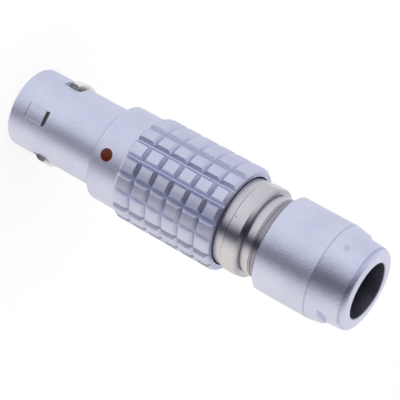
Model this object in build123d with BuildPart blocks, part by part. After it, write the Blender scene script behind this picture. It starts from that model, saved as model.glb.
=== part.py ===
"""Push-pull circular connector, cable-mounted plug.

Millimetres. Z runs along the plug, from the mating rim at Z = 0 up to the cable end.
The guide key and the alignment dot face -Y, the two latch fingers face +X and -X.
"""

import os
from math import cos, radians, sin, sqrt, tan

from build123d import *

# ---------------------------------------------------------------------------
# Fits
# ---------------------------------------------------------------------------
SLIDE_GAP = 0.05  # radial play between the shell and the latch sleeve
THREAD_GAP = 0.05  # radial play between the nut's bore and the sleeve's thread
COLLET_GAP = 0.07  # radial play of the collet in the sleeve
CONE_GAP = 0.05  # play between the collet's cone and the nut's cone
INSERT_GAP = 0.03  # radial play of the insert halves in the sleeve
FINGER_MOUTH_GAP = 0.07  # how far the latch fingers lie inside the lip of the mouth
KNUCKLE_GAP = 0.05  # play around the root of a latch finger
SHELL_TRAVEL = 1.0  # how far the shell is pulled back to release the latch
SHELL_STOP_GAP = 0.1  # play left between the shoulders at the end of that travel
GRIP_STOP_GAP = 0.15  # play left between the grip and the flange there
NUT_TRAVEL = 1.0  # how far the nut can be turned on from where it stands
CUT_PAST = 1.0  # how far a cut runs on past the material it removes

# ---------------------------------------------------------------------------
# Outer shell: barrel, collar and grip
# ---------------------------------------------------------------------------
BARREL_R = 4.62
BARREL_WALL = 0.42
BARREL_BORE_R = BARREL_R - BARREL_WALL
MOUTH_LIP = 0.2  # height of the lip at the mating end
MOUTH_R = BARREL_BORE_R - MOUTH_LIP
MOUTH_END = 2.2
RIM_ROUND = 0.18
RIM_BORE_CHAMFER = 0.15

GRIP_R = 6.0
GRIP_WALL = 0.83
GRIP_BORE_R = GRIP_R - GRIP_WALL
GRIP_BORE_START = 15.4
GRIP_START = 15.78
GRIP_START_EDGE = (0.15, 0.27)  # radial and axial size of the front edge
GRIP_END = 28.35
GRIP_END_EDGE = (0.36, 0.35)

COLLAR_WALL = 0.38
COLLAR_R = GRIP_BORE_R + COLLAR_WALL
COLLAR_START = 11.93
COLLAR_EDGE = 0.08

RING_COUNT = 5  # grooves around the grip
RING_INSET = 2.05  # from the grip's front to the first groove
RING_FIRST = GRIP_START + RING_INSET
RING_PITCH = 2.12
RING_DEPTH = 0.34

ROW_COUNT = 18  # grooves along the grip
ROW_OFFSET = -1.9  # degrees from +X to the first one
ROW_WIDTH = 0.87
ROW_FLOOR_WIDTH = 0.16
ROW_DEPTH = 0.42
ROW_CUT_HEIGHT = 0.2  # how far the cut stands over the grip

WINDOW_FRONT = 3.45  # front edge of a latch window on the barrel's surface
WINDOW_REAR = 5.65
WINDOW_HALF_WIDTH = 2.13
WINDOW_CORNER = 0.25
WINDOW_CUT_PAST = 0.3  # how far the cut runs past the barrel's wall
RAMP_ANGLE = 30.0  # slope of the window's front wall and of the latch nose

KEY_WIDTH = 1.8
KEY_FRONT = 1.95
KEY_REAR = 4.3
KEY_SLOT_REAR = 4.75
KEY_EDGE = 0.06

DOT_Z = 13.6
DOT_R = 0.725
DOT_DEPTH = 0.35
DOT_SINK = 0.02

# ---------------------------------------------------------------------------
# Latch sleeve
# ---------------------------------------------------------------------------
SLEEVE_SHOULDER = GRIP_BORE_START + SHELL_TRAVEL + SHELL_STOP_GAP
TUBE_R = MOUTH_R - FINGER_MOUTH_GAP
TUBE_WALL = 0.48
TUBE_BORE_R = TUBE_R - TUBE_WALL
TUBE_LENGTH = 5.5
TUBE_FRONT = SLEEVE_SHOULDER - TUBE_LENGTH

GUIDE_R = GRIP_BORE_R - SLIDE_GAP
BAND_OVERLAP = 0.15  # how far the band starts inside the grip
BAND_START = GRIP_END - BAND_OVERLAP
RELIEF_LENGTH = 1.2
GUIDE_END = BAND_START - RELIEF_LENGTH
BAND_STEP = 0.12
BAND_R = GUIDE_R - BAND_STEP
BAND_ROUND = 0.24
RELIEF_DEPTH = 0.4
FLANGE_HEIGHT = 0.25
FLANGE_R = BAND_R + FLANGE_HEIGHT
FLANGE_START = GRIP_END + SHELL_TRAVEL + GRIP_STOP_GAP
FLANGE_WIDTH = 1.52
FLANGE_END = FLANGE_START + FLANGE_WIDTH
FLANGE_SLOPE_WIDTH = 0.38
FLANGE_BACK = FLANGE_END + FLANGE_SLOPE_WIDTH
FLANGE_BACK_HEIGHT = 0.05
FLANGE_ACROSS = 2 * BAND_R
FLANGE_EDGE = 0.06

THREAD_STEP = 0.5
THREAD_R = BAND_R - THREAD_STEP
LAND_HEIGHT = 0.05
NECK_WIDTH = 0.2
NECK_DEPTH = 0.1
LAND_WIDTH = 0.95
LAND_START = FLANGE_BACK + NECK_WIDTH
LAND_END = LAND_START + LAND_WIDTH
NECK_SHOULDER = 0.05
THREAD_LENGTH = 4.45
SLEEVE_END = LAND_END + THREAD_LENGTH
SLEEVE_END_EDGE = 0.2
SLEEVE_WALL = 0.7
SLEEVE_BORE_R = THREAD_R - SLEEVE_WALL
SLEEVE_SEAT_SETBACK = 1.1
SLEEVE_SEAT = SLEEVE_SHOULDER + SLEEVE_SEAT_SETBACK  # shoulder that the insert halves rest on

# ---------------------------------------------------------------------------
# Latch fingers
# ---------------------------------------------------------------------------
FINGER_THICKNESS = 0.43
FINGER_INNER_R = TUBE_R - FINGER_THICKNESS
FINGER_WIDTH = 3.9
FINGER_NECK_WIDTH = 2.4
FINGER_END_GAP = 0.1  # play between a finger's tip and the lip of the mouth
FINGER_FRONT = MOUTH_END + FINGER_END_GAP
FINGER_NECK_LENGTH = 0.5  # bare neck between a finger's shoulder and the sleeve
FINGER_SHOULDER = TUBE_FRONT - FINGER_NECK_LENGTH
KNUCKLE_R = 0.5
KNUCKLE_DEPTH = 0.23
KNUCKLE_SETBACK = 1.0
KNUCKLE_X = TUBE_R - KNUCKLE_DEPTH
KNUCKLE_Z = TUBE_FRONT + KNUCKLE_SETBACK
FINGER_REAR = KNUCKLE_Z + KNUCKLE_R

NOSE_HEIGHT = 0.41
NOSE_R = BARREL_R + NOSE_HEIGHT
NOSE_REAR = 5.07
NOSE_DROP = 0.05  # how far the nose's ramp lies under the window's front edge
NOSE_ROUND = 0.8
NOSE_EDGE = 0.1

# ---------------------------------------------------------------------------
# Insulator, contacts and insert halves
# ---------------------------------------------------------------------------
INSERT_R = TUBE_BORE_R - INSERT_GAP
INSERT_WALL = 0.57
INSERT_SETBACK = 0.6
INSERT_FRONT = TUBE_FRONT + INSERT_SETBACK
INSERT_FLANGE_WIDTH = 2.6
INSERT_FLANGE_R = SLEEVE_BORE_R - INSERT_GAP
INSERT_FLANGE_END = SLEEVE_SEAT + INSERT_FLANGE_WIDTH
INSERT_TAIL_STEP = 0.32
INSERT_TAIL_R = INSERT_FLANGE_R - INSERT_TAIL_STEP
INSERT_TAIL_WALL = 0.47
INSERT_TAIL_LENGTH = 1.8
INSERT_REAR = INSERT_FLANGE_END + INSERT_TAIL_LENGTH

INSULATOR_R = INSERT_R - INSERT_WALL
INSULATOR_FRONT = 6.5
INSULATOR_SEAT_LENGTH = 2.9  # length held by the insert halves
INSULATOR_REAR = INSERT_FRONT + INSULATOR_SEAT_LENGTH
INSULATOR_RIM_HEIGHT = 0.27
INSULATOR_RIM_WIDTH = 1.2
INSULATOR_RIM_SETBACK = 1.0
INSULATOR_RIM_START = INSERT_FRONT + INSULATOR_RIM_SETBACK
INSULATOR_RIM_END = INSULATOR_RIM_START + INSULATOR_RIM_WIDTH
INSULATOR_EDGE = 0.2

PIN_R = 0.35
PIN_TIP = 4.6
PIN_TIP_EDGE = 0.15
PIN_RING_INSET = 1.0
PIN_RING_R = INSULATOR_R - PIN_RING_INSET
PIN_RING_COUNT = 7
CUP_R = 0.52
CUP_BORE_R = 0.38
CUP_DEPTH = 2.2
CUP_LENGTH = 3.4
CUP_END = INSULATOR_REAR + CUP_LENGTH

# ---------------------------------------------------------------------------
# Collet and collet nut
# ---------------------------------------------------------------------------
COLLET_R = SLEEVE_BORE_R - COLLET_GAP
COLLET_WALL = 0.53
CABLE_R = COLLET_R - COLLET_WALL
COLLET_FRONT = INSERT_REAR + NUT_TRAVEL + CONE_GAP
COLLET_TAIL_WALL = 0.25
COLLET_SLOT_WIDTH = 0.6
COLLET_HEAD_LENGTH = 7.95  # solid front part, ahead of the slots
COLLET_SLOT_START = COLLET_FRONT + COLLET_HEAD_LENGTH

NUT_STANDOFF = 0.98  # bare thread between the land and the nut
NUT_FRONT = LAND_END + NUT_STANDOFF
NUT_WALL = 0.84
NUT_BORE_R = THREAD_R + THREAD_GAP
NUT_R = NUT_BORE_R + NUT_WALL
NUT_EDGE = 0.15
NUT_MOUTH_STEP = 0.1
NUT_MOUTH_DEPTH = 0.57
NUT_MOUTH_END = NUT_FRONT + NUT_MOUTH_DEPTH
NUT_STOP_GAP = 0.5
NUT_BORE_END = SLEEVE_END + NUT_TRAVEL + NUT_STOP_GAP
NUT_SEAT_LENGTH = 2.5
NUT_SEAT_SLOPE = 0.3
NUT_SEAT_END = NUT_BORE_END + NUT_SEAT_LENGTH
NUT_ENTRY_LENGTH = 3.2
NUT_REAR = NUT_SEAT_END + NUT_ENTRY_LENGTH
NUT_BODY_LENGTH = 6.43  # length of the nut ahead of its cone
NUT_CONE_START = NUT_FRONT + NUT_BODY_LENGTH
NUT_CONE_ANGLE = 10.7
NUT_REAR_ROUND = 0.65
NUT_ENTRY_EDGE = 0.1
NUT_FLAT_DEPTH = 0.89
NUT_FLAT_LENGTH = 2.75
NUT_FLAT_START = NUT_REAR - NUT_FLAT_LENGTH
NUT_TURN = -17.5  # degrees that the nut's flats stand from the X axis


def profile(*points):
    """A closed profile of (radius, height) points, to be turned about the Z axis."""
    with BuildSketch(Plane.XZ) as outline:
        with BuildLine():
            Polyline(*points, close=True)
        make_face()
    return outline.sketch


def circle_edge(part, radius, height):
    """The circular edge of a turned part that has this radius and height."""
    circles = part.edges().filter_by(GeomType.CIRCLE)
    level = circles.filter_by_position(Axis.Z, height - 0.001, height + 0.001)
    return level.sort_by(lambda edge: abs(edge.radius - radius))[0]


# ---------------------------------------------------------------------------
# Outer shell
# ---------------------------------------------------------------------------
window_slope = tan(radians(RAMP_ANGLE))
window_inner_r = BARREL_BORE_R - WINDOW_CUT_PAST
window_outer_r = BARREL_R + WINDOW_CUT_PAST
window_inner_front = WINDOW_FRONT - (BARREL_R - window_inner_r) / window_slope
window_length = WINDOW_REAR - window_inner_front + CUT_PAST

# The front wall of a window is a cone, so that it slides down the latch nose.
with BuildPart() as window_tool:
    revolve(
        profile(
            (window_inner_r, window_inner_front),
            (window_outer_r, WINDOW_FRONT + (window_outer_r - BARREL_R) / window_slope),
            (window_outer_r, WINDOW_REAR),
            (window_inner_r, WINDOW_REAR),
        ),
        axis=Axis.Z,
    )
    with BuildSketch(Plane.YZ):
        with Locations((0, WINDOW_REAR - window_length / 2)):
            RectangleRounded(2 * WINDOW_HALF_WIDTH, window_length, WINDOW_CORNER)
    extrude(amount=2 * BARREL_R, both=True, mode=Mode.INTERSECT)

ring_points = []
for ring in range(RING_COUNT):
    ring_z = RING_FIRST + ring * RING_PITCH
    ring_points.append((GRIP_R, ring_z - RING_DEPTH))
    ring_points.append((GRIP_R - RING_DEPTH, ring_z))
    ring_points.append((GRIP_R, ring_z + RING_DEPTH))

with BuildPart() as outer_shell:
    revolve(
        profile(
            (BARREL_R, RIM_ROUND),
            (BARREL_R, COLLAR_START),
            (COLLAR_R - COLLAR_EDGE, COLLAR_START),
            (COLLAR_R, COLLAR_START + COLLAR_EDGE),
            (COLLAR_R, GRIP_START),
            (GRIP_R - GRIP_START_EDGE[0], GRIP_START),
            (GRIP_R, GRIP_START + GRIP_START_EDGE[1]),
            *ring_points,
            (GRIP_R, GRIP_END - GRIP_END_EDGE[1]),
            (GRIP_R - GRIP_END_EDGE[0], GRIP_END),
            (GRIP_BORE_R, GRIP_END),
            (GRIP_BORE_R, GRIP_BORE_START),
            (BARREL_BORE_R, GRIP_BORE_START),
            (BARREL_BORE_R, MOUTH_END),
            (MOUTH_R, MOUTH_END),
            (MOUTH_R, RIM_BORE_CHAMFER),
            (MOUTH_R + RIM_BORE_CHAMFER, 0),
            (BARREL_R - RIM_ROUND, 0),
            (BARREL_R - 0.3 * RIM_ROUND, 0.3 * RIM_ROUND),
        ),
        axis=Axis.Z,
    )

    # grooves along the grip, cut past both of its ends
    row_flank = (ROW_WIDTH - ROW_FLOOR_WIDTH) / 2 / ROW_DEPTH
    row_top_half = ROW_WIDTH / 2 + ROW_CUT_HEIGHT * row_flank
    with BuildSketch(Plane.XY.offset(GRIP_START - CUT_PAST)):
        with PolarLocations(GRIP_R, ROW_COUNT, start_angle=ROW_OFFSET):
            Polygon(
                (-ROW_DEPTH, -ROW_FLOOR_WIDTH / 2),
                (ROW_CUT_HEIGHT, -row_top_half),
                (ROW_CUT_HEIGHT, row_top_half),
                (-ROW_DEPTH, ROW_FLOOR_WIDTH / 2),
                align=None,
            )
    extrude(amount=GRIP_END - GRIP_START + 2 * CUT_PAST, mode=Mode.SUBTRACT)

    # latch windows
    add(window_tool.part, mode=Mode.SUBTRACT)

    # slot for the guide key, open behind the key
    with BuildSketch(Plane.XZ):
        with Locations((0, (KEY_FRONT + KEY_SLOT_REAR) / 2)):
            Rectangle(KEY_WIDTH, KEY_SLOT_REAR - KEY_FRONT)
    extrude(amount=BARREL_R + CUT_PAST, mode=Mode.SUBTRACT)

    # recess for the alignment dot
    with BuildSketch(Plane.XZ.offset(COLLAR_R - DOT_DEPTH)):
        with Locations((0, DOT_Z)):
            Circle(DOT_R)
    extrude(amount=COLLAR_R, mode=Mode.SUBTRACT)
outer_shell.part.label = "outer_shell"

# ---------------------------------------------------------------------------
# Guide key and alignment dot
# ---------------------------------------------------------------------------
with BuildPart() as guide_key:
    with BuildSketch(Plane.XZ):
        with Locations((0, (KEY_FRONT + KEY_REAR) / 2)):
            Rectangle(KEY_WIDTH, KEY_REAR - KEY_FRONT)
    extrude(amount=BARREL_R + CUT_PAST)
    revolve(
        profile(
            (BARREL_BORE_R, KEY_FRONT),
            (BARREL_R - KEY_EDGE, KEY_FRONT),
            (BARREL_R, KEY_FRONT + KEY_EDGE),
            (BARREL_R, KEY_REAR - KEY_EDGE),
            (BARREL_R - KEY_EDGE, KEY_REAR),
            (BARREL_BORE_R, KEY_REAR),
        ),
        axis=Axis.Z,
        mode=Mode.INTERSECT,
    )
guide_key.part.label = "guide_key"

with BuildPart() as alignment_dot:
    with BuildSketch(Plane.XZ.offset(COLLAR_R - DOT_DEPTH)):
        with Locations((0, DOT_Z)):
            Circle(DOT_R)
    extrude(amount=COLLAR_R)
    Cylinder(COLLAR_R - DOT_SINK, 4 * DOT_Z, mode=Mode.INTERSECT)
alignment_dot.part.label = "alignment_dot"

# ---------------------------------------------------------------------------
# Latch sleeve
# ---------------------------------------------------------------------------
with BuildPart() as latch_sleeve:
    revolve(
        profile(
            (TUBE_R, TUBE_FRONT),
            (TUBE_R, SLEEVE_SHOULDER),
            (GUIDE_R, SLEEVE_SHOULDER),
            (GUIDE_R, GUIDE_END),
            (BAND_R - RELIEF_DEPTH, GUIDE_END),
            (BAND_R - RELIEF_DEPTH, BAND_START),
            (BAND_R - BAND_ROUND, BAND_START),
            (BAND_R - 0.3 * BAND_ROUND, BAND_START + 0.3 * BAND_ROUND),
            (BAND_R, BAND_START + BAND_ROUND),
            (BAND_R, FLANGE_START),
            (FLANGE_R - FLANGE_EDGE, FLANGE_START),
            (FLANGE_R, FLANGE_START + FLANGE_EDGE),
            (FLANGE_R, FLANGE_END),
            (BAND_R + FLANGE_BACK_HEIGHT, FLANGE_BACK),
            (THREAD_R - NECK_DEPTH, FLANGE_BACK + NECK_SHOULDER),
            (THREAD_R - NECK_DEPTH, LAND_START),
            (THREAD_R + LAND_HEIGHT, LAND_START),
            (THREAD_R + LAND_HEIGHT, LAND_END),
            (THREAD_R, LAND_END),
            (THREAD_R, SLEEVE_END),
            (SLEEVE_BORE_R, SLEEVE_END),
            (SLEEVE_BORE_R, SLEEVE_SEAT),
            (TUBE_BORE_R, SLEEVE_SEAT),
            (TUBE_BORE_R, TUBE_FRONT),
        ),
        axis=Axis.Z,
    )
    chamfer(circle_edge(latch_sleeve, THREAD_R, SLEEVE_END), SLEEVE_END_EDGE)

    # two flats on the flange
    with BuildSketch(Plane.XY.offset(FLANGE_START)):
        with GridLocations(FLANGE_ACROSS + 2 * FLANGE_R, 0, 2, 1):
            Rectangle(2 * FLANGE_R, 2 * FLANGE_R)
    extrude(amount=FLANGE_BACK - FLANGE_START, mode=Mode.SUBTRACT)

    # seats for the roots of the fingers
    with BuildSketch(Plane.XZ):
        with Locations((KNUCKLE_X, KNUCKLE_Z), (-KNUCKLE_X, KNUCKLE_Z)):
            Circle(KNUCKLE_R + KNUCKLE_GAP)
        with Locations((KNUCKLE_X, KNUCKLE_Z), (-KNUCKLE_X, KNUCKLE_Z)):
            Rectangle(
                2 * (KNUCKLE_R + KNUCKLE_GAP),
                KNUCKLE_SETBACK + CUT_PAST,
                align=(Align.CENTER, Align.MAX),
            )
    extrude(amount=FINGER_NECK_WIDTH / 2 + KNUCKLE_GAP, both=True, mode=Mode.SUBTRACT)
latch_sleeve.part.label = "latch_sleeve"

# ---------------------------------------------------------------------------
# Latch fingers, on the right (+X) and the left (-X)
# ---------------------------------------------------------------------------
nose_ramp_end = WINDOW_FRONT + (NOSE_R - BARREL_R + NOSE_DROP) / window_slope
nose_ramp_start = WINDOW_FRONT - (BARREL_R - NOSE_DROP - TUBE_R) / window_slope
latch_fingers = []
for side in (1, -1):
    with BuildPart() as latch_finger:
        revolve(
            profile(
                (FINGER_INNER_R, FINGER_FRONT),
                (TUBE_R, FINGER_FRONT),
                (TUBE_R, nose_ramp_start),
                (NOSE_R, nose_ramp_end),
                (NOSE_R, NOSE_REAR),
                (TUBE_R, NOSE_REAR),
                (TUBE_R, FINGER_REAR),
                (FINGER_INNER_R, FINGER_REAR),
            ),
            axis=Axis.Z,
        )
        fillet(circle_edge(latch_finger, NOSE_R, nose_ramp_end), NOSE_ROUND)
        chamfer(circle_edge(latch_finger, NOSE_R, NOSE_REAR), NOSE_EDGE)
        # plan of the finger, seen along X
        with BuildSketch(Plane.YZ):
            with BuildLine():
                Polyline(
                    (FINGER_WIDTH / 2, FINGER_FRONT),
                    (FINGER_WIDTH / 2, FINGER_SHOULDER),
                    (FINGER_NECK_WIDTH / 2, FINGER_SHOULDER),
                    (FINGER_NECK_WIDTH / 2, FINGER_REAR),
                    (-FINGER_NECK_WIDTH / 2, FINGER_REAR),
                    (-FINGER_NECK_WIDTH / 2, FINGER_SHOULDER),
                    (-FINGER_WIDTH / 2, FINGER_SHOULDER),
                    (-FINGER_WIDTH / 2, FINGER_FRONT),
                    close=True,
                )
            make_face()
        extrude(amount=side * 2 * NOSE_R, mode=Mode.INTERSECT)
        # side view of the finger, with the round end that it swings on
        with BuildSketch(Plane.XZ):
            with Locations((side * KNUCKLE_X, FINGER_FRONT)):
                Rectangle(
                    2 * KNUCKLE_X,
                    KNUCKLE_Z - FINGER_FRONT,
                    align=(Align.CENTER, Align.MIN),
                )
            with Locations((side * KNUCKLE_X, KNUCKLE_Z)):
                Circle(KNUCKLE_R)
        extrude(amount=FINGER_WIDTH, both=True, mode=Mode.INTERSECT)
    latch_finger.part.label = "latch_finger_right" if side > 0 else "latch_finger_left"
    latch_fingers.append(latch_finger.part)

# ---------------------------------------------------------------------------
# Insulator
# ---------------------------------------------------------------------------
insulator_rim_r = INSULATOR_R + INSULATOR_RIM_HEIGHT

with BuildPart() as insulator:
    revolve(
        profile(
            (0, INSULATOR_FRONT),
            (INSULATOR_R - INSULATOR_EDGE, INSULATOR_FRONT),
            (INSULATOR_R, INSULATOR_FRONT + INSULATOR_EDGE),
            (INSULATOR_R, INSULATOR_RIM_START),
            (insulator_rim_r, INSULATOR_RIM_START),
            (insulator_rim_r, INSULATOR_RIM_END),
            (INSULATOR_R, INSULATOR_RIM_END),
            (INSULATOR_R, INSULATOR_REAR),
            (0, INSULATOR_REAR),
        ),
        axis=Axis.Z,
    )
    with BuildSketch(Plane.XY.offset(INSULATOR_FRONT)):
        Circle(PIN_R)
        with PolarLocations(PIN_RING_R, PIN_RING_COUNT, start_angle=-90):
            Circle(PIN_R)
    extrude(amount=INSULATOR_REAR - INSULATOR_FRONT, mode=Mode.SUBTRACT)
insulator.part.label = "insulator"

# ---------------------------------------------------------------------------
# Contact pins: one in the middle, the others on a ring
# ---------------------------------------------------------------------------
pin_places = [(0.0, 0.0)]
for index in range(PIN_RING_COUNT):
    angle = radians(-90 + index * 360 / PIN_RING_COUNT)
    pin_places.append((PIN_RING_R * cos(angle), PIN_RING_R * sin(angle)))

contact_pins = []
for number, place in enumerate(pin_places, start=1):
    with BuildPart() as contact_pin:
        with BuildSketch(Plane.XY.offset(PIN_TIP)):
            with Locations(place):
                Circle(PIN_R)
        extrude(amount=INSULATOR_REAR - PIN_TIP)
        chamfer(contact_pin.edges().filter_by(GeomType.CIRCLE).sort_by(Axis.Z)[0], PIN_TIP_EDGE)
        with BuildSketch(Plane.XY.offset(INSULATOR_REAR)):
            with Locations(place):
                Circle(CUP_R)
        extrude(amount=CUP_END - INSULATOR_REAR)
        with BuildSketch(Plane.XY.offset(CUP_END)):
            with Locations(place):
                Circle(CUP_BORE_R)
        extrude(amount=-CUP_DEPTH, mode=Mode.SUBTRACT)
    contact_pin.part.label = f"contact_pin_{number}"
    contact_pins.append(contact_pin.part)

# ---------------------------------------------------------------------------
# Insert halves
# ---------------------------------------------------------------------------
# the bore leaves a full wall both in the narrow front and in the tail
insert_inner_r = min(INSERT_R, INSERT_TAIL_R) - INSERT_TAIL_WALL
insert_halves = []
for side in (1, -1):
    with BuildPart() as insert_half:
        revolve(
            profile(
                (INSULATOR_R, INSERT_FRONT),
                (INSERT_R, INSERT_FRONT),
                (INSERT_R, SLEEVE_SEAT),
                (INSERT_FLANGE_R, SLEEVE_SEAT),
                (INSERT_FLANGE_R, INSERT_FLANGE_END),
                (INSERT_TAIL_R, INSERT_FLANGE_END),
                (INSERT_TAIL_R, INSERT_REAR),
                (insert_inner_r, INSERT_REAR),
                (insert_inner_r, INSULATOR_REAR),
                (INSULATOR_R, INSULATOR_REAR),
                (INSULATOR_R, INSULATOR_RIM_END),
                (insulator_rim_r, INSULATOR_RIM_END),
                (insulator_rim_r, INSULATOR_RIM_START),
                (INSULATOR_R, INSULATOR_RIM_START),
            ),
            axis=Axis.Z,
        )
        split(bisect_by=Plane.XZ, keep=Keep.TOP if side > 0 else Keep.BOTTOM)
    insert_half.part.label = "insert_half_1" if side > 0 else "insert_half_2"
    insert_halves.append(insert_half.part)

# ---------------------------------------------------------------------------
# Collet
# ---------------------------------------------------------------------------
cone_drop = CONE_GAP * sqrt(1 + NUT_SEAT_SLOPE**2)
nut_seat_r = CABLE_R + NUT_SEAT_SLOPE * (NUT_SEAT_END - NUT_BORE_END)
collet_tail_r = CABLE_R + COLLET_TAIL_WALL
collet_cone_start = NUT_BORE_END + (nut_seat_r - cone_drop - COLLET_R) / NUT_SEAT_SLOPE
collet_rear = NUT_BORE_END + (nut_seat_r - cone_drop - collet_tail_r) / NUT_SEAT_SLOPE

with BuildPart() as collet:
    revolve(
        profile(
            (CABLE_R, COLLET_FRONT),
            (COLLET_R, COLLET_FRONT),
            (COLLET_R, collet_cone_start),
            (collet_tail_r, collet_rear),
            (CABLE_R, collet_rear),
        ),
        axis=Axis.Z,
    )
    # crossed slots let the rear end close on the cable
    with BuildSketch(Plane.XY.offset(COLLET_SLOT_START)):
        Rectangle(COLLET_SLOT_WIDTH, 3 * COLLET_R)
        Rectangle(3 * COLLET_R, COLLET_SLOT_WIDTH)
    extrude(amount=collet_rear - COLLET_SLOT_START + CUT_PAST, mode=Mode.SUBTRACT)
collet.part.label = "collet"

# ---------------------------------------------------------------------------
# Collet nut
# ---------------------------------------------------------------------------
nut_rear_r = NUT_R - (NUT_REAR - NUT_CONE_START) * tan(radians(NUT_CONE_ANGLE))

with BuildPart() as collet_nut:
    revolve(
        profile(
            (NUT_R - NUT_EDGE, NUT_FRONT),
            (NUT_R, NUT_FRONT + NUT_EDGE),
            (NUT_R, NUT_CONE_START),
            (nut_rear_r, NUT_REAR),
            (CABLE_R, NUT_REAR),
            (CABLE_R, NUT_SEAT_END),
            (nut_seat_r, NUT_BORE_END),
            (NUT_BORE_R, NUT_BORE_END),
            (NUT_BORE_R, NUT_MOUTH_END),
            (NUT_BORE_R + NUT_MOUTH_STEP, NUT_MOUTH_END),
            (NUT_BORE_R + NUT_MOUTH_STEP, NUT_FRONT),
        ),
        axis=Axis.Z,
    )
    fillet(circle_edge(collet_nut, nut_rear_r, NUT_REAR), NUT_REAR_ROUND)
    chamfer(circle_edge(collet_nut, CABLE_R, NUT_REAR), NUT_ENTRY_EDGE)

    # two flats at the cable end
    with BuildSketch(Plane(origin=(0, 0, NUT_FLAT_START)).rotated((0, 0, NUT_TURN))):
        with GridLocations(4 * NUT_R - 2 * NUT_FLAT_DEPTH, 0, 2, 1):
            Rectangle(2 * NUT_R, 2 * NUT_R)
    extrude(amount=NUT_REAR - NUT_FLAT_START + CUT_PAST, mode=Mode.SUBTRACT)
collet_nut.part.label = "collet_nut"

# ---------------------------------------------------------------------------
# Export
# ---------------------------------------------------------------------------
os.makedirs("parts", exist_ok=True)
pieces = [outer_shell.part, guide_key.part, alignment_dot.part, latch_sleeve.part]
pieces += latch_fingers
pieces += [insulator.part]
pieces += contact_pins
pieces += insert_halves
pieces += [collet.part, collet_nut.part]
for piece in pieces:
    export_step(piece, f"parts/{piece.label}.step")
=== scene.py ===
"""Studio scene for the push-pull circular connector: finishes, floor, light and camera."""
import math
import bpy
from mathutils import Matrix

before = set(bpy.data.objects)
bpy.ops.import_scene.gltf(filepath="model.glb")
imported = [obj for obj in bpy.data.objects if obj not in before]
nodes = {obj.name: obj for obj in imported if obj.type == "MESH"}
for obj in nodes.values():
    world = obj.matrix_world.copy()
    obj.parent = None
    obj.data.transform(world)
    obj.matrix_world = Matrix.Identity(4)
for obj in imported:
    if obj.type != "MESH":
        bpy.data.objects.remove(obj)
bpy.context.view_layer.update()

from types import SimpleNamespace

import bpy
from mathutils import Matrix, Vector

MM = 0.001
bpy.ops.object.select_all(action="DESELECT")

# ---------------------------------------------------------------------------
# Places on the plug, in millimetres: heights above the mating rim, and radii
# ---------------------------------------------------------------------------
BARREL_SKIN = 4.56  # just under the barrel's outer surface
COLLAR_LOW = 11.93  # where the barrel steps out to the collar
GRIP_LOW = 15.78  # where the collar steps out to the grip
GRIP_TOP, GRIP_FLOOR = 6.0, 5.55  # crests and groove floors of the grip
DOT_HEIGHT, DOT_RADIUS = 13.6, 0.725
KEY_LOW, KEY_HALF = 1.95, 0.9  # the key's front edge and half width
NOSE_FOOT, NOSE_HALF = 4.0, 1.95  # radius past which a latch nose stands out, and its half width
NOSE_REAR = 5.07
BAND_LOW = 28.2  # where the sleeve comes out of the grip
FLANGE_LOW, FLANGE_HIGH = 29.5, 31.02  # where the flange starts and where it slopes off
FLANGE_INNER, FLANGE_TOP = 4.55, 5.25  # radii of the land behind the flange and of the flange
PIT_PLACE = (-0.91, -5.17, 29.8)  # a pit in the flange's plating
RELIEF_LOW = 32.56  # where the undercut before the thread starts
THREAD_LOW, THREAD_PITCH = 33.25, 0.5
THREAD_SKIN = 4.4  # just under the thread's outer surface
CONE_LOW = 39.96  # where the nut starts to narrow
RIM_LOW = 43.5  # where the nut's rear edge starts to round
RIM_INNER = 4.3  # inner radius of the ring of painted shade on that edge
SPOT_PLACE = (-3.36, -3.87, 41.44)  # a faint dull spot on the nut's cone
ENTRY_RADIUS = 3.26  # just over the radius of the cable's way through the nut
HAIR = 0.02  # a step just large enough to tell one face from the next


# ---------------------------------------------------------------------------
# Small tools for materials
# ---------------------------------------------------------------------------
def srgb(code):
    """A hex colour as linear red, green, blue and a full alpha."""
    channels = [int(code[i:i + 2], 16) / 255 for i in (0, 2, 4)]
    linear = [c / 12.92 if c <= 0.04045 else ((c + 0.055) / 1.055) ** 2.4 for c in channels]
    return (*linear, 1.0)


def add_node(tree, kind, inputs=None, **settings):
    """Adds a node with its settings, and fills its inputs with values or other nodes' outputs."""
    added = tree.nodes.new(kind)
    for name, value in settings.items():
        setattr(added, name, value)
    for name, value in (inputs or {}).items():
        if isinstance(value, bpy.types.NodeSocket):
            tree.links.new(value, added.inputs[name])
        else:
            added.inputs[name].default_value = value
    return added


def start_finish(name):
    """An empty material with its shader, and the places on the object in millimetres:
    across (X), outward (Y), height (Z) and radius from the plug's axis."""
    material = bpy.data.materials.new(name)
    material.use_nodes = True
    tree = material.node_tree
    tree.nodes.clear()
    shader = add_node(tree, "ShaderNodeBsdfPrincipled")
    add_node(tree, "ShaderNodeOutputMaterial", {"Surface": shader.outputs["BSDF"]})
    metres = add_node(tree, "ShaderNodeTexCoord").outputs["Object"]
    place = add_node(tree, "ShaderNodeVectorMath", {0: metres, "Scale": 1 / MM}, operation="SCALE")
    parts = add_node(tree, "ShaderNodeSeparateXYZ", {"Vector": place.outputs["Vector"]})
    flat = add_node(
        tree, "ShaderNodeVectorMath", {0: place.outputs["Vector"], 1: (1.0, 1.0, 0.0)},
        operation="MULTIPLY",
    )
    radius = add_node(tree, "ShaderNodeVectorMath", {0: flat.outputs["Vector"]}, operation="LENGTH")
    return SimpleNamespace(
        material=material, tree=tree, shader=shader, place=place.outputs["Vector"],
        across=parts.outputs["X"], outward=parts.outputs["Y"], height=parts.outputs["Z"],
        radius=radius.outputs["Value"],
    )


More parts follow.
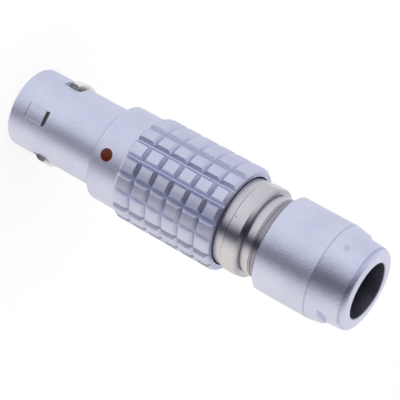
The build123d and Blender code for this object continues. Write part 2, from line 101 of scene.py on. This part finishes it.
def cloudy(finish, size, low, high, detail=3.0):
    """Two close colours in soft clouds of a given size in millimetres."""
    tree = finish.tree
    cloud = add_node(
        tree, "ShaderNodeTexNoise",
        {"Vector": finish.place, "Scale": 1 / size, "Detail": detail},
    )
    share = add_node(
        tree, "ShaderNodeMapRange",
        {"Value": cloud.outputs["Fac"], "From Min": 0.35, "From Max": 0.65},
    )
    mixed = add_node(
        tree, "ShaderNodeMix",
        {0: share.outputs["Result"], 6: srgb(low), 7: srgb(high)}, data_type="RGBA",
    )
    return mixed.outputs[2]


def zone(finish, *limits):
    """1 where every value lies past its limits, 0 elsewhere, with soft edges.
    Each limit is (value, where it is 0, where it is 1)."""
    inside = 1.0
    for value, out_at, in_at in limits:
        edge = add_node(
            finish.tree, "ShaderNodeMapRange",
            {"Value": value, "From Min": out_at, "From Max": in_at}, interpolation_type="SMOOTHSTEP",
        )
        both = add_node(
            finish.tree, "ShaderNodeMath", {0: inside, 1: edge.outputs["Result"]}, operation="MULTIPLY",
        )
        inside = both.outputs[0]
    return inside


def ring(finish, height, half, fade):
    """A zone round the piece at a height, with its half width and how far it fades out."""
    return zone(
        finish, (finish.height, height - half - fade, height - half),
        (finish.height, height + half + fade, height + half),
    )


def dull(finish, where, code):
    """Multiplies the finish's colour by another one in a zone."""
    mixed = add_node(
        finish.tree, "ShaderNodeMix", {0: where, 6: finish.colour, 7: srgb(code)},
        data_type="RGBA", blend_type="MULTIPLY",
    )
    finish.colour = mixed.outputs[2]


def roughen(finish, where, roughness):
    """Sets the roughness in a zone, and leaves it elsewhere."""
    mixed = add_node(
        finish.tree, "ShaderNodeMix", {0: where, 2: finish.gloss, 3: roughness}, data_type="FLOAT",
    )
    finish.gloss = mixed.outputs[0]


def use_colour(finish):
    """Gives the finish's colour to its shader."""
    finish.tree.links.new(finish.colour, finish.shader.inputs["Base Color"])


def use_gloss(finish):
    """Gives the finish's roughness to its shader."""
    finish.tree.links.new(finish.gloss, finish.shader.inputs["Roughness"])


def dress(finish, *names):
    """Gives CAD nodes this finish alone."""
    for name in names:
        nodes[name].data.materials.clear()
        nodes[name].data.materials.append(finish.material)


# ---------------------------------------------------------------------------
# Satin chrome: brass, bead blasted, then chrome plated. The blasting gives a fine even
# grain and a soft reflection with a trace of scatter, the chrome a cold, violet grey.
# ---------------------------------------------------------------------------
SATIN_GRAIN = 0.14  # mm between grains; the real ones are about 0.05, too fine to show
GRAIN_DEPTH = 0.03  # mm
GRAIN_SPREAD = 0.04  # how far the roughness changes with the grain
KEY_SEAM = 0.05  # mm, the line where the key is let into the barrel
KEY_ROUND = 0.1  # mm, the key's rounded edge
COLLAR_ROUND = 0.14  # mm, the collar's rounded edge
ENTRY_FADE = 0.03  # mm over which the painted shade in the nut's and the collet's bore sets in
SPOT_RADIUS = 0.5  # mm


def satin_chrome(name, roughness=0.4):
    """The satin chrome finish, with its colour left open for the marks of each piece."""
    finish = start_finish(name)
    tree, shader = finish.tree, finish.shader
    shader.inputs["Metallic"].default_value = 0.95
    grain = add_node(
        tree, "ShaderNodeTexNoise",
        {"Vector": finish.place, "Scale": 1 / SATIN_GRAIN, "Detail": 2.0, "Roughness": 0.6},
    )
    gloss = add_node(
        tree, "ShaderNodeMapRange",
        {"Value": grain.outputs["Fac"], "From Min": 0.3, "From Max": 0.7,
         "To Min": roughness - GRAIN_SPREAD, "To Max": roughness + GRAIN_SPREAD},
    )
    finish.relief = add_node(
        tree, "ShaderNodeBump",
        {"Height": grain.outputs["Fac"], "Strength": 0.8, "Distance": GRAIN_DEPTH * MM},
    )
    tree.links.new(gloss.outputs["Result"], shader.inputs["Roughness"])
    tree.links.new(finish.relief.outputs["Normal"], shader.inputs["Normal"])
    finish.colour = cloudy(finish, 3.0, "D2D6EF", "D9DDF4")
    dull(finish, zone(finish, (grain.outputs["Fac"], 0.62, 0.38)), "F7F7F8")
    return finish


# The shell: a little duller on the grip, with painted shade darkening its grooves towards
# their floors, and painted shade on the walls of the bore, the windows and the key's slot.
shell = satin_chrome("satin_chrome_shell")
grip = zone(shell, (shell.height, GRIP_LOW - 0.05, GRIP_LOW + 0.05))
dull(shell, grip, "F7F7F8")
# Painted shade: darker towards the floors of the grip's grooves.
dull(shell, zone(shell, (shell.radius, GRIP_TOP - 0.02, GRIP_FLOOR), (grip, 0.0, 1.0)), "F1F1F6")
# Painted shade: the walls of the bore, the windows and the key's slot are coloured dark.
shaded_bore = zone(shell, (shell.radius, BARREL_SKIN + HAIR, BARREL_SKIN - HAIR), (shell.height, 0.1, 0.3))
dull(shell, shaded_bore, "77777C")
# Painted shade: a faint dark line where the barrel steps out to the collar.
dull(shell, ring(shell, COLLAR_LOW, half=0.02, fade=0.1), "E2E2EA")
rounding = zone(shell, (shell.height, COLLAR_LOW, COLLAR_LOW + COLLAR_ROUND))
edges = add_node(
    shell.tree, "ShaderNodeBump",
    {"Height": rounding, "Strength": 1.0, "Distance": COLLAR_ROUND / 2 * MM},
)
shell.tree.links.new(edges.outputs["Normal"], shell.relief.inputs["Normal"])
use_colour(shell)
dress(shell, "outer_shell")

# The key: the same finish, its edges rounded off by the blasting, with a faint seam where
# it is let into the barrel.
key = satin_chrome("satin_chrome_key")
side = add_node(key.tree, "ShaderNodeMath", {0: key.across}, operation="ABSOLUTE").outputs[0]
rounding = zone(key, (side, KEY_HALF, KEY_HALF - KEY_ROUND), (key.height, KEY_LOW, KEY_LOW + KEY_ROUND))
edges = add_node(
    key.tree, "ShaderNodeBump",
    {"Height": rounding, "Strength": 1.0, "Distance": KEY_ROUND / 2 * MM},
)
key.tree.links.new(edges.outputs["Normal"], key.relief.inputs["Normal"])
for seam in (
    (side, KEY_HALF - KEY_SEAM, KEY_HALF - HAIR / 2),
    (key.height, KEY_LOW + KEY_SEAM, KEY_LOW + HAIR / 2),
):
    dull(key, zone(key, seam), "C8C8D0")
use_colour(key)
dress(key, "guide_key")

# The nut: a little smoother than the shell, with a fine dark line where the cone begins, a ring of
# painted shade just inside its rounded rear edge, and painted shade in the way in for the cable, darker
# further in.
nut = satin_chrome("satin_chrome_nut", roughness=0.36)
dull(nut, ring(nut, CONE_LOW, half=0.02, fade=0.14), "E0E0E6")
# Painted shade: a darker ring where the cone turns into the rounded rear edge.
shaded_rim = zone(
    nut, (nut.height, RIM_LOW, RIM_LOW + 0.12), (nut.height, RIM_LOW + 0.5, RIM_LOW + 0.18),
    (nut.radius, RIM_INNER, RIM_INNER + 0.1),
)
dull(nut, shaded_rim, "DCDCE4")
# Painted shade: the way in for the cable is coloured dark, and darker further in.
shaded_entry = zone(nut, (nut.radius, ENTRY_RADIUS + ENTRY_FADE, ENTRY_RADIUS))
dull(nut, shaded_entry, "C0BEBC")
deeper_shade = zone(nut, (nut.height, RIM_LOW + 0.4, RIM_LOW - 1.4), (shaded_entry, 0.0, 1.0))
dull(nut, deeper_shade, "C4C4C4")
from_spot = add_node(
    nut.tree, "ShaderNodeVectorMath", {0: nut.place, 1: SPOT_PLACE}, operation="DISTANCE",
)
dull(nut, zone(nut, (from_spot.outputs["Value"], SPOT_RADIUS, SPOT_RADIUS / 5)), "E6E6EC")
use_colour(nut)
dress(nut, "collet_nut")

# ---------------------------------------------------------------------------
# Bright nickel: turned brass, nickel plated without blasting, so it is smoother and warmer
# than the chrome and mirrors dark things almost black. Faint turning lines run round it.
# ---------------------------------------------------------------------------
TURNING_STEP = 0.12  # mm between turning lines; the real ones are about 0.04
TURNING_DEPTH = 0.004  # mm
TURNING_STRETCH = 2.0  # mm, how far a turning line keeps its shade round the piece
THREAD_DEPTH = 0.3  # mm
PIT_RADIUS, PIT_FLOOR = 0.1, 0.04  # mm, the pit in the flange and its darkest middle
NICKEL_SMOOTH, NICKEL_ROUGH = 0.268, 0.282  # roughness between and on the turning lines


def bright_nickel(name, low="CBC9D2", high="D2D0D8"):
    """The bright nickel finish, with its colour and roughness left open for each piece."""
    finish = start_finish(name)
    tree, shader = finish.tree, finish.shader
    shader.inputs["Metallic"].default_value = 1.0
    squeezed = add_node(
        tree, "ShaderNodeVectorMath",
        {0: finish.place, 1: (1 / TURNING_STRETCH, 1 / TURNING_STRETCH, 1 / TURNING_STEP)},
        operation="MULTIPLY",
    )
    turning = add_node(
        tree, "ShaderNodeTexNoise",
        {"Vector": squeezed.outputs["Vector"], "Scale": 1.0, "Detail": 3.0, "Roughness": 0.6},
    )
    gloss = add_node(
        tree, "ShaderNodeMapRange",
        {"Value": turning.outputs["Fac"], "From Min": 0.3, "From Max": 0.7,
         "To Min": NICKEL_SMOOTH, "To Max": NICKEL_ROUGH},
    )
    finish.gloss = gloss.outputs["Result"]
    finish.relief = add_node(
        tree, "ShaderNodeBump",
        {"Height": turning.outputs["Fac"], "Strength": 0.1, "Distance": TURNING_DEPTH * MM},
    )
    tree.links.new(finish.relief.outputs["Normal"], shader.inputs["Normal"])
    finish.colour = cloudy(finish, 2.5, low, high)
    return finish


# The latch sleeve: a matt edge where it comes out of the grip and painted shade beside it, a
# shadow line in front of the flange, painted shade on its rear slope and a matt corner behind it,
# then painted shade on the undercut with two fine lines, and the thread for the nut, painted darker in
# its roots.
sleeve = bright_nickel("bright_nickel_sleeve")
roughen(sleeve, zone(sleeve, (sleeve.height, BAND_LOW + 0.34, BAND_LOW + 0.24)), 0.8)
# Painted shade: darker next to the grip, where the sleeve comes out of it.
dull(sleeve, zone(sleeve, (sleeve.height, BAND_LOW + 1.3, BAND_LOW + 0.2)), "E6E6EA")
shadow = zone(
    sleeve, (sleeve.height, FLANGE_LOW - 0.14, FLANGE_LOW - 0.06),
    (sleeve.height, FLANGE_LOW + 0.08, FLANGE_LOW + 0.02),
)
dull(sleeve, shadow, "4A484C")
from_pit = add_node(
    sleeve.tree, "ShaderNodeVectorMath", {0: sleeve.place, 1: PIT_PLACE}, operation="DISTANCE",
)
dull(sleeve, zone(sleeve, (from_pit.outputs["Value"], PIT_RADIUS, PIT_FLOOR)), "40403F")
behind_flange = (sleeve.height, FLANGE_HIGH - 0.06, FLANGE_HIGH - 0.03)
# Painted shade on the flange's rear slope.
shaded_slope = zone(
    sleeve, behind_flange, (sleeve.radius, FLANGE_TOP, FLANGE_TOP - 0.2),
    (sleeve.radius, FLANGE_INNER + HAIR, FLANGE_INNER + 0.35),
)
dull(sleeve, shaded_slope, "E8E6EA")
corner = zone(
    sleeve, behind_flange, (sleeve.radius, FLANGE_INNER + 0.45, FLANGE_INNER + 0.2),
    (sleeve.height, FLANGE_HIGH + 0.5, FLANGE_HIGH + 0.1),
)
roughen(sleeve, corner, 0.75)
# Painted shade: darker from the undercut on, where the nut's end shades the sleeve.
dull(sleeve, zone(sleeve, (sleeve.height, RELIEF_LOW - HAIR, RELIEF_LOW + 0.14)), "BEBCC2")
for fine_line in (RELIEF_LOW - 0.08, RELIEF_LOW + 0.12):
    dull(sleeve, ring(sleeve, fine_line, half=0.01, fade=0.05), "6A686C")
angle = add_node(
    sleeve.tree, "ShaderNodeMath", {0: sleeve.outward, 1: sleeve.across}, operation="ARCTAN2",
)
turns = add_node(
    sleeve.tree, "ShaderNodeMath", {0: angle.outputs[0], 1: 1 / math.tau}, operation="MULTIPLY",
)
steps = add_node(
    sleeve.tree, "ShaderNodeMath", {0: sleeve.height, 1: 1 / THREAD_PITCH}, operation="MULTIPLY",
)
helix = add_node(
    sleeve.tree, "ShaderNodeMath", {0: steps.outputs[0], 1: turns.outputs[0]}, operation="SUBTRACT",
)
tooth = add_node(sleeve.tree, "ShaderNodeMath", {0: helix.outputs[0], 1: 0.5}, operation="PINGPONG")
threaded = zone(
    sleeve, (sleeve.height, THREAD_LOW, THREAD_LOW + 0.1),
    (sleeve.radius, THREAD_SKIN, THREAD_SKIN + 0.05),
)
teeth = add_node(sleeve.tree, "ShaderNodeMath", {0: tooth.outputs[0], 1: threaded}, operation="MULTIPLY")
# Painted shade in the thread's roots.
dull(sleeve, zone(sleeve, (tooth.outputs[0], 0.3, 0.05), (threaded, 0.0, 1.0)), "8A888C")
thread = add_node(
    sleeve.tree, "ShaderNodeBump",
    {"Height": teeth.outputs[0], "Strength": 1.0, "Distance": THREAD_DEPTH * MM},
)
sleeve.tree.links.new(thread.outputs["Normal"], sleeve.relief.inputs["Normal"])
use_colour(sleeve)
use_gloss(sleeve)
dress(sleeve, "latch_sleeve")

# The latch fingers: the same nickel, with a painted highlight on the rear of the noses,
# painted shade on the sides of the noses, and matt on their rear faces.
# Painted highlight: the fingers start from a lighter nickel, which stays only on the rear of the noses.
finger = bright_nickel("bright_nickel_finger", low="F2F1F6", high="F8F7FA")
side = add_node(finger.tree, "ShaderNodeMath", {0: finger.outward}, operation="ABSOLUTE").outputs[0]
nose = zone(finger, (finger.radius, NOSE_FOOT, NOSE_FOOT + 0.1))
# Everything in front of the noses' rear is toned down to the plain nickel, leaving the painted
# highlight.
dull(finger, zone(finger, (finger.height, NOSE_REAR - 0.5, NOSE_REAR - 1.0)), "D6D5DA")
# Painted shade on the sides of the noses.
shaded_sides = zone(
    finger, (side, NOSE_HALF - 2 * HAIR, NOSE_HALF - HAIR / 2),
    (finger.height, NOSE_REAR - 1.4, NOSE_REAR - 1.0), (nose, 0.0, 1.0),
)
dull(finger, shaded_sides, "8E8C92")
rear_face = zone(finger, (finger.height, NOSE_REAR - 2 * HAIR, NOSE_REAR - HAIR), (nose, 0.0, 1.0))
roughen(finger, rear_face, 0.5)
use_colour(finger)
use_gloss(finger)
dress(finger, "latch_finger_right", "latch_finger_left")

# ---------------------------------------------------------------------------
# Enamel of the alignment dot: a drop of dark red paint, crowned by its own surface
# tension, thinner and redder at its edge.
# ---------------------------------------------------------------------------
CROWN_DEPTH, CROWN_FLAT = 0.05, 0.15  # mm, how high the drop stands and its flat middle
enamel = start_finish("red_dot_enamel")
enamel.colour = cloudy(enamel, 0.4, "4A1806", "561E0A", detail=2.0)
flat = add_node(
    enamel.tree, "ShaderNodeVectorMath", {0: enamel.place, 1: (1.0, 0.0, 1.0)}, operation="MULTIPLY",
)
middle = add_node(
    enamel.tree, "ShaderNodeVectorMath", {0: flat.outputs["Vector"], 1: (0.0, 0.0, DOT_HEIGHT)},
    operation="DISTANCE",
)
thin_edge = zone(enamel, (middle.outputs["Value"], DOT_RADIUS - 0.07, DOT_RADIUS))
redder = add_node(
    enamel.tree, "ShaderNodeMix", {0: thin_edge, 6: enamel.colour, 7: srgb("8A3C2E")},
    data_type="RGBA",
)
enamel.colour = redder.outputs[2]
crown = zone(enamel, (middle.outputs["Value"], DOT_RADIUS, CROWN_FLAT))
bulge = add_node(
    enamel.tree, "ShaderNodeBump", {"Height": crown, "Strength": 1.0, "Distance": CROWN_DEPTH * MM},
)
enamel.tree.links.new(bulge.outputs["Normal"], enamel.shader.inputs["Normal"])
use_colour(enamel)
enamel.shader.inputs["Roughness"].default_value = 0.25
enamel.shader.inputs["IOR"].default_value = 1.36
dress(enamel, "alignment_dot")

# ---------------------------------------------------------------------------
# Insulator: turned PEEK, a hard beige-brown plastic with a dull skin.
# ---------------------------------------------------------------------------
plastic = start_finish("turned_beige_plastic")
plastic.colour = cloudy(plastic, 1.5, "A08B66", "B29C74", detail=4.0)
use_colour(plastic)
plastic.shader.inputs["Roughness"].default_value = 0.5
plastic.shader.inputs["IOR"].default_value = 1.6
dress(plastic, "insulator")

# ---------------------------------------------------------------------------
# Contacts: turned brass with a thin plate of hard gold.
# ---------------------------------------------------------------------------
gold = start_finish("gold_plated_contact")
gold.colour = cloudy(gold, 0.6, "E6B866", "F0C87A")
use_colour(gold)
gold.shader.inputs["Metallic"].default_value = 1.0
gold.shader.inputs["Roughness"].default_value = 0.22
dress(gold, *[f"contact_pin_{number}" for number in range(1, 9)])

# ---------------------------------------------------------------------------
# Inner metal parts: nickel-plated brass, duller, with a trace of the brass's warmth.
# ---------------------------------------------------------------------------
insert = start_finish("dull_nickel_on_brass")
insert.colour = cloudy(insert, 1.2, "A9A498", "B9B4A6", detail=4.0)
use_colour(insert)
insert.shader.inputs["Metallic"].default_value = 1.0
insert.shader.inputs["Roughness"].default_value = 0.4
dress(insert, "insert_half_1", "insert_half_2")

# The collet: coloured dark as painted shade, and darker still in its bore, as the nut's way in is.
collet = start_finish("collet_painted_shade")
# Painted shade: the collet lies deep in the nut, so its colour is kept dark.
collet.colour = cloudy(collet, 1.2, "6A6764", "76726D", detail=4.0)
# Painted shade: darker still in the collet's bore.
shaded_bore = zone(collet, (collet.radius, ENTRY_RADIUS + ENTRY_FADE, ENTRY_RADIUS))
dull(collet, shaded_bore, "BCBAC0")
use_colour(collet)
collet.shader.inputs["Metallic"].default_value = 1.0
collet.shader.inputs["Roughness"].default_value = 0.42
dress(collet, "collet")


# ---------------------------------------------------------------------------
# Studio: white floor and surroundings
# ---------------------------------------------------------------------------
def seen_ray(tree):
    """1 for what the camera sees, straight, in a reflection or through glass."""
    path = add_node(tree, "ShaderNodeLightPath")
    seen = path.outputs["Is Camera Ray"]
    for other in ("Is Glossy Ray", "Is Transmission Ray"):
        either = add_node(tree, "ShaderNodeMath", {0: seen, 1: path.outputs[other]}, operation="MAXIMUM")
        seen = either.outputs[0]
    return seen


# The floor looks white by a glow of its own, except under the hollow barrel, where it has only
# the light that reaches it, so that it does not shine through the slot behind the key.
FLOOR_SIZE = 4.0  # metres
FLOOR_WHITE, SHELTER_WHITE = 0.75, 0.05  # the share of glow in the open and under the barrel
SHELTER_INNER, SHELTER_OUTER = 3.9 * MM, 4.5 * MM
bpy.ops.mesh.primitive_plane_add(size=FLOOR_SIZE, location=(0, 0, 0))
floor = bpy.context.active_object
floor.name = "floor"
floor_paper = bpy.data.materials.new("white_floor_paper")
floor_paper.use_nodes = True
tree = floor_paper.node_tree
tree.nodes.clear()
position = add_node(tree, "ShaderNodeTexCoord").outputs["Object"]
from_axis = add_node(tree, "ShaderNodeVectorMath", {0: position}, operation="LENGTH")
in_the_open = add_node(
    tree, "ShaderNodeMapRange",
    {"Value": from_axis.outputs["Value"], "From Min": SHELTER_INNER, "From Max": SHELTER_OUTER,
     "To Min": SHELTER_WHITE, "To Max": FLOOR_WHITE},
    interpolation_type="SMOOTHSTEP",
)
share = add_node(
    tree, "ShaderNodeMath", {0: seen_ray(tree), 1: in_the_open.outputs["Result"]}, operation="MULTIPLY",
)
matt = add_node(tree, "ShaderNodeBsdfDiffuse", {"Color": srgb("F7F7F8")})
white = add_node(tree, "ShaderNodeEmission", {"Color": srgb("FFFFFF"), "Strength": 1.0})
mixed = add_node(tree, "ShaderNodeMixShader", {"Fac": share.outputs[0]})
tree.links.new(matt.outputs["BSDF"], mixed.inputs[1])
tree.links.new(white.outputs["Emission"], mixed.inputs[2])
add_node(tree, "ShaderNodeOutputMaterial", {"Surface": mixed.outputs["Shader"]})
floor.data.materials.append(floor_paper)
floor.visible_glossy = False

# The world looks white, and lights the matt surfaces a little less.
WORLD_LIGHT = 0.9
world = bpy.data.worlds.new("white_studio")
bpy.context.scene.world = world
world.use_nodes = True
tree = world.node_tree
tree.nodes.clear()
light = add_node(tree, "ShaderNodeBackground", {"Color": srgb("FFFFFF"), "Strength": WORLD_LIGHT})
white = add_node(tree, "ShaderNodeBackground", {"Color": srgb("FFFFFF"), "Strength": 1.0})
mixed = add_node(tree, "ShaderNodeMixShader", {"Fac": seen_ray(tree)})
tree.links.new(light.outputs["Background"], mixed.inputs[1])
tree.links.new(white.outputs["Background"], mixed.inputs[2])
add_node(tree, "ShaderNodeOutputWorld", {"Surface": mixed.outputs["Shader"]})

# Reflector dome: what the metal mirrors. White soft boxes all round, dimmer on the left and
# warmer on the right, with one dark gap between them that runs up from below the horizon and
# widens overhead.
GAP_COURSE = (
    # elevation, azimuth of the gap's middle, half-width, how dark its middle is
    (-90, -60, 15.5, 0.0),
    (-65, -60, 15.5, 0.2),
    (-48, -60, 15.5, 1.0),
    (-20, -60, 15.5, 1.0),
    (-6, -69, 26, 1.0),
    (5, -75, 31, 1.0),
    (25, -80, 34, 1.0),
    (48, -79, 46, 1.0),
    (65, -78, 72, 1.0),
    (80, -78, 120, 1.0),
    (90, -78, 150, 0.9),
)
BOX_COURSE = (
    # azimuth, the boxes' red, green and blue
    (-180, 0.875, 0.875, 0.875),
    (-160, 0.915, 0.915, 0.91),
    (-140, 0.985, 0.985, 0.975),
    (-120, 1.0, 1.0, 0.98),
    (-60, 1.0, 1.0, 1.0),
    (-45, 1.01, 1.01, 0.99),
    (-25, 1.065, 1.035, 0.955),
    (0, 1.05, 1.01, 0.92),
    (25, 1.02, 0.985, 0.89),
    (40, 0.97, 0.945, 0.885),
    (80, 0.955, 0.94, 0.905),
    (100, 0.96, 0.955, 0.93),
    (115, 0.935, 0.935, 0.93),
    (140, 0.88, 0.88, 0.87),
    (180, 0.875, 0.875, 0.875),
)
DARK = Vector(srgb("1A1A3C")[:3])  # the violet black of the gap
DOME_RADIUS = 0.4  # metres


def along(course, angle):
    """A course's values at an angle, between its given ones."""
    for low, high in zip(course, course[1:]):
        if angle <= high[0]:
            share = (angle - low[0]) / (high[0] - low[0])
            return [a + (b - a) * share for a, b in zip(low[1:], high[1:])]
    return course[-1][1:]


def away(azimuth, middle):
    """How far an azimuth is from another, in degrees."""
    return abs((azimuth - middle + 180) % 360 - 180)


bpy.ops.object.select_all(action="DESELECT")
bpy.ops.mesh.primitive_uv_sphere_add(segments=120, ring_count=90, radius=DOME_RADIUS)
dome = bpy.context.active_object
dome.name = "reflector_dome"
shade = dome.data.attributes.new("shade", "FLOAT_COLOR", "POINT")
for vertex in dome.data.vertices:
    elevation = math.degrees(math.asin(max(-1.0, min(1.0, vertex.co.z / DOME_RADIUS))))
    azimuth = math.degrees(math.atan2(vertex.co.y, vertex.co.x))
    middle, half_width, darkness = along(GAP_COURSE, elevation)
    dip = darkness * math.exp(-math.log(2) * (away(azimuth, middle) / half_width) ** 3)
    boxes = Vector(along(BOX_COURSE, azimuth))
    shade.data[vertex.index].color = (*boxes.lerp(DARK, dip), 1.0)
soft_boxes = bpy.data.materials.new("soft_boxes")
soft_boxes.use_nodes = True
tree = soft_boxes.node_tree
tree.nodes.clear()
level = add_node(tree, "ShaderNodeAttribute", attribute_name="shade")
glow = add_node(tree, "ShaderNodeEmission", {"Color": level.outputs["Color"]})
add_node(tree, "ShaderNodeOutputMaterial", {"Surface": glow.outputs["Emission"]})
dome.data.materials.append(soft_boxes)
dome.visible_camera = False
dome.visible_diffuse = False
dome.visible_shadow = False
dome.visible_transmission = False

# One soft lamp above the plug, in front of it and to its left, lights what isn't metal.
LAMP_PLACE, LAMP_AIM = Vector((-0.25, -0.2, 0.5)), Vector((0.0, 0.0, 0.02))  # metres
LAMP_SIZE, LAMP_ENERGY = 0.5, 1.2  # metres and watts
bpy.ops.object.light_add(type="AREA", location=LAMP_PLACE)
lamp = bpy.context.active_object
lamp.name = "soft_box_lamp"
lamp.data.shape = "SQUARE"
lamp.data.size = LAMP_SIZE
lamp.data.energy = LAMP_ENERGY
lamp.rotation_euler = (LAMP_AIM - lamp.location).to_track_quat("-Z", "Y").to_euler()
lamp.visible_glossy = False

# ---------------------------------------------------------------------------
# Camera: in front, a little above, and rolled so that the upright plug lies at a slant
# ---------------------------------------------------------------------------
CAMERA_PLACE = Vector((-22.22, -159.17, 94.16)) * MM
RIGHT_WAY = Vector((-0.4314, 0.4177, 0.7998))
DOWN_WAY = Vector((0.8932, 0.0726, 0.4439))
FORWARD_WAY = Vector((0.1273, 0.9058, -0.4044))
SENSOR, LENS = 36.0, 149.2  # mm
NEAREST = 0.005  # metres
camera = bpy.data.objects.new("camera", bpy.data.cameras.new("camera"))
bpy.context.collection.objects.link(camera)
turn = Matrix((RIGHT_WAY, -DOWN_WAY, -FORWARD_WAY)).transposed()
camera.matrix_world = Matrix.Translation(CAMERA_PLACE) @ turn.to_4x4()
camera.data.sensor_width = SENSOR
camera.data.lens = LENS
camera.data.clip_start = NEAREST
bpy.context.scene.camera = camera

bpy.context.scene.view_settings.view_transform = "Standard"
